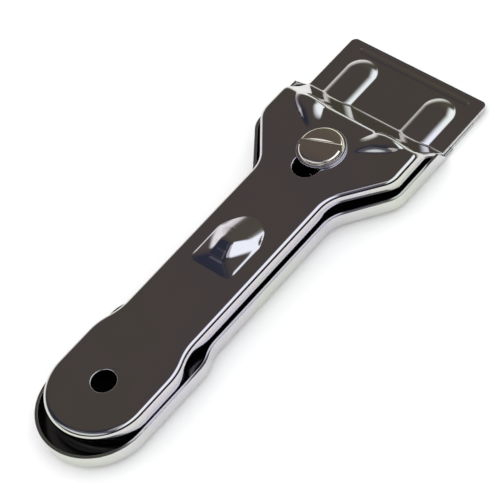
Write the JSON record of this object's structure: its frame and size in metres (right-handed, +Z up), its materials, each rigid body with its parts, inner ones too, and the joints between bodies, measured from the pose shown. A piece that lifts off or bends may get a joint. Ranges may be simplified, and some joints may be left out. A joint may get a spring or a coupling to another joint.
{
  "type": "razor blade scraper",
  "caption": "All-metal blade scraper: a pressed shell slides in a pressed tray to cover or expose a razor blade, and one slotted screw clamps it.",
  "frame": {"origin": "centre of the hanging hole, in the plane of the tray's underside", "axes": "+X along the tool towards the blade's cutting edge, +Y to the left with the blade pointing away, +Z up through the clamp screw's head"},
  "size_m": [0.1319, 0.0444, 0.0125],
  "materials": {
    "shell_plating": "mirror polished nickel-chrome plate",
    "tray_plating": "bright nickel-chrome plate",
    "screw_plating": "bright nickel plate, slightly warm",
    "zinc_steel": "bright zinc plate",
    "blade_steel": "ground and honed"
  },
  "bodies": {
    "tray": {"base_tray": "tray_plating", "clamp_nut": "zinc_steel", "scraper_blade": "blade_steel", "blade_studs": "zinc_steel"},
    "shell": {"top_shell": "shell_plating"},
    "washer": {"screw_washer": "zinc_steel"},
    "screw": {"clamp_screw": "screw_plating"}
  },
  "joints": [
    {"name": "shell_slide", "type": "slide", "parent": "tray", "child": "shell", "axis": [1, 0, 0], "range_m": [-0.0016, 0.0055]},
    {"name": "washer_lift", "type": "slide", "parent": "tray", "child": "washer", "axis": [0, 0, 1], "range_m": [0, 0.002]},
    {"name": "screw_turn", "type": "hinge", "parent": "washer", "child": "screw", "pos_m": [0.0775, 0, 0.0095], "axis": [0, 0, 1], "range_deg": [0, 720]}
  ],
  "couplings": [
    {"joint": "screw_turn", "follows": "washer_lift", "rad_per_m": 6283.2}
  ]
}
